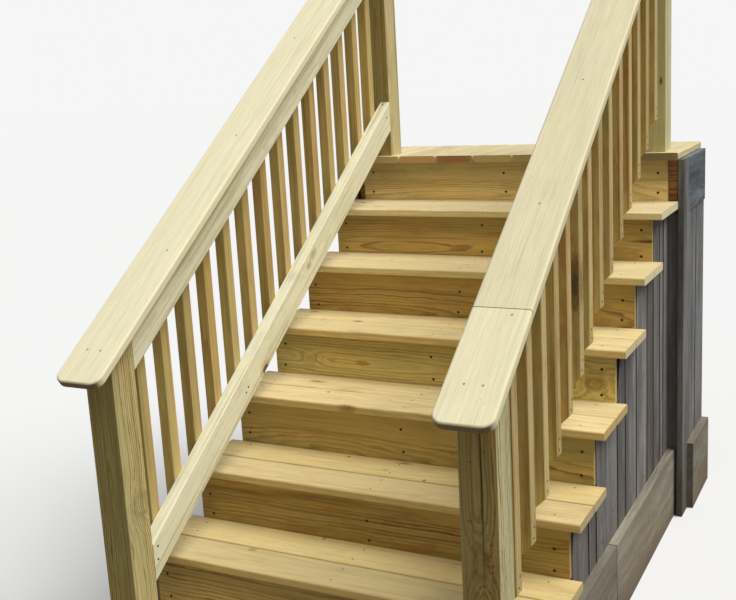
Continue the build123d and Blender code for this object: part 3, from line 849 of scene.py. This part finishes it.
# narrow: boards that get no screws; edgeX: where the deck ends; post: what the upper posts cover
landingScrews = {"apart": 0.045, "fromRim": 0.02, "fromBack": 0.019, "slack": 0.004, "narrow": 0.1, "edgeX": 0.59,
                 "postX": (0.44, 0.58), "postY": 0.8}
rows = (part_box("rim_joist")[0].y + landingScrews["fromRim"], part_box("back_joist")[0].y + landingScrews["fromBack"])
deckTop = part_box("landing_boards")[1].z
spots = []
for start, end in boardsAlong("landing_boards", 0):
    for offset in (-landingScrews["apart"], landingScrews["apart"]):
        for y in rows:
            x = (start + end) / 2 + offset
            covered = landingScrews["postX"][0] < abs(x) < landingScrews["postX"][1] and y < landingScrews["postY"]
            if end - start > landingScrews["narrow"] and abs(x) < landingScrews["edgeX"] and not covered:
                spots.append(((near(x, landingScrews["slack"]), y, deckTop), upward))
addHeads("landingScrews", spots, treadScrews["radius"], brownScrews)

# Pairs at the ends of a cap, single screws between them
capScrews = {"start": Vector((0, -0.9901, 0.9765)), "radius": 0.0031, "lift": 0.0002, "pair": (-0.021, 0.021),
             "ends": (0.0, 1.72, 1.76), "slack": 0.03,
             "distances": {-0.499: (0.0, 0.36, 0.85, 1.35, 1.72), 0.514: (0.0, 0.2, 0.56, 1.05, 1.5, 1.76)}}
across = Vector((0, -math.sin(slope), math.cos(slope)))
spots = []
for x, distances in capScrews["distances"].items():
    for distance in distances:
        for offset in capScrews["pair"] if distance in capScrews["ends"] else (near(0.0, capScrews["slack"]),):
            along = Vector((x + offset, distance * math.cos(slope), distance * math.sin(slope)))
            spots.append((capScrews["start"] + along + across * capScrews["lift"], across))
addHeads("capScrews", spots, capScrews["radius"], tanScrews)

# edge: where the line through the tread edges meets the deck; up: from that line to the foot of a baluster
balusterScrews = {"radius": 0.0032, "edgeY": 0.680586, "edgeZ": 1.291, "up": 0.123, "rightUp": 0.028,
                  "foot": (0.014, 0.04), "head": (0.56, 0.6), "slack": 0.006}
outward = (("left", towardLeft), ("right", towardRight))
spots = []
for side, facing in outward:
    low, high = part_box("balusters_" + side)
    x, lift = (low.x, 0.0) if side == "left" else (high.x, balusterScrews["rightUp"])
    for start, end in boardsAlong("balusters_" + side, 1):
        middle = (start + end) / 2
        foot = balusterScrews["edgeZ"] + (middle - balusterScrews["edgeY"]) * rise / run + balusterScrews["up"] + lift
        for height in [*balusterScrews["foot"], *[height - lift for height in balusterScrews["head"]]]:
            spots.append(((x, near(middle, balusterScrews["slack"]), foot + height), facing))
addHeads("balusterScrews", spots, balusterScrews["radius"], darkScrews)

railScrews = {"radius": 0.0036, "x": -0.4525,
              "places": ((-0.3887, 0.7041), (-0.4022, 0.6909), (-0.879, 0.4056), (-0.8824, 0.3694),
                         (0.6331, 1.4846), (0.661, 1.4346))}  # Y and Z
spots = [((railScrews["x"], y, z), towardRight) for y, z in railScrews["places"]]
addHeads("railScrews", spots, railScrews["radius"], darkScrews)

sidingNails = {"radius": 0.0034, "heights": (0.285, 0.33, 0.62, 1.0), "offMiddle": 0.3, "slack": 0.012, "clear": 0.03}
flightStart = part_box("riser_%d" % treadCount)[0].y
spots = []
for side, facing in outward:
    low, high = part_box("siding_" + side)
    x = low.x if side == "left" else high.x
    for start, end in boardsAlong("siding_" + side, 1):
        for height in sidingNails["heights"]:
            y = (start + end) / 2 + near(0.0, sidingNails["offMiddle"]) * (end - start)
            above = treadCount - max(0, math.floor((y - flightStart) / run))
            if above > 0 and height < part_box("tread_%d" % above)[0].z - sidingNails["clear"]:
                spots.append(((x, y, near(height, sidingNails["slack"])), facing))
addHeads("sidingNails", spots, sidingNails["radius"], rustyNails, recess=False)
print("screws and nails set")

stage = {"reach": 40.0, "drop": 0.001, "seen": (0.8, 0.8, 0.795, 1), "bounce": (0.2, 0.19, 0.17, 1), "rough": 0.9}
floorMesh = bpy.data.meshes.new("floor")
far, low = stage["reach"], -stage["drop"]
floorMesh.from_pydata([(-far, -far, low), (far, -far, low), (far, far, low), (-far, far, low)], [], [(0, 1, 2, 3)])
floor = bpy.data.objects.new("floor", floorMesh)
bpy.context.scene.collection.objects.link(floor)
floorMaterial, shader = startMaterial("paleFloor")
rays = addNode("LightPath")
feed(shader.inputs["Base Color"], mix(rays.outputs["Is Camera Ray"], stage["bounce"], stage["seen"]))
shader.inputs["Roughness"].default_value = stage["rough"]
shader.inputs["Specular IOR Level"].default_value = 0.0
floorMesh.materials.append(floorMaterial)

studio = {"sky": 0.22, "seen": 0.92, "nosingShadeBand": 3.3, "spread": 42.0, "from": (0.53, 0.04, 1.0)}
world = bpy.data.worlds.new("studio")
bpy.context.scene.world = world
world.use_nodes = True
bench["tree"] = world.node_tree
rays = addNode("LightPath")
plain = maths("MAXIMUM", rays.outputs["Is Glossy Ray"], rays.outputs["Is Transmission Ray"])
seen = maths("MAXIMUM", rays.outputs["Is Camera Ray"], plain)
backdrop = world.node_tree.nodes["Background"]
backdrop.inputs["Color"].default_value = (1, 1, 1, 1)
feed(backdrop.inputs["Strength"], span(seen, 0.0, 1.0, studio["sky"], studio["seen"], smooth=False))
nosingShadeBand = bpy.data.objects.new("softSun", bpy.data.lights.new("softSun", "SUN"))
nosingShadeBand.data.energy = studio["nosingShadeBand"]
nosingShadeBand.data.angle = math.radians(studio["spread"])
nosingShadeBand.rotation_euler = Vector(studio["from"]).to_track_quat("Z", "Y").to_euler()
bpy.context.scene.collection.objects.link(nosingShadeBand)

photo = {"width": 736, "height": 600, "focal": 1078.1, "centreX": 353.27, "centreY": 292.85, "sensor": 36.0,
         "at": (1.31179, -2.99147, 1.64293), "yaw": -0.4898, "pitch": -0.2104, "roll": 0.0588, "farthest": 200.0}
yaw, pitch, roll = photo["yaw"], photo["pitch"], photo["roll"]
ahead = Vector((math.sin(yaw) * math.cos(pitch), math.cos(yaw) * math.cos(pitch), math.sin(pitch)))
level = Vector((math.cos(yaw), -math.sin(yaw), 0))
down = ahead.cross(level)
rightward = math.cos(roll) * level + math.sin(roll) * down
up = math.sin(roll) * level - math.cos(roll) * down
camera = bpy.data.objects.new("camera", bpy.data.cameras.new("camera"))
bpy.context.scene.collection.objects.link(camera)
camera.matrix_world = Matrix.Translation(photo["at"]) @ Matrix((rightward, up, -ahead)).transposed().to_4x4()
camera.data.sensor_width = photo["sensor"]
camera.data.lens = photo["sensor"] * photo["focal"] / photo["width"]
camera.data.shift_x = (photo["width"] / 2 - photo["centreX"]) / photo["width"]
camera.data.shift_y = (photo["centreY"] - photo["height"] / 2) / photo["width"]
camera.data.clip_end = photo["farthest"]
bpy.context.scene.camera = camera
bpy.context.scene.view_settings.view_transform = "Standard"
print("floor, light and camera placed")
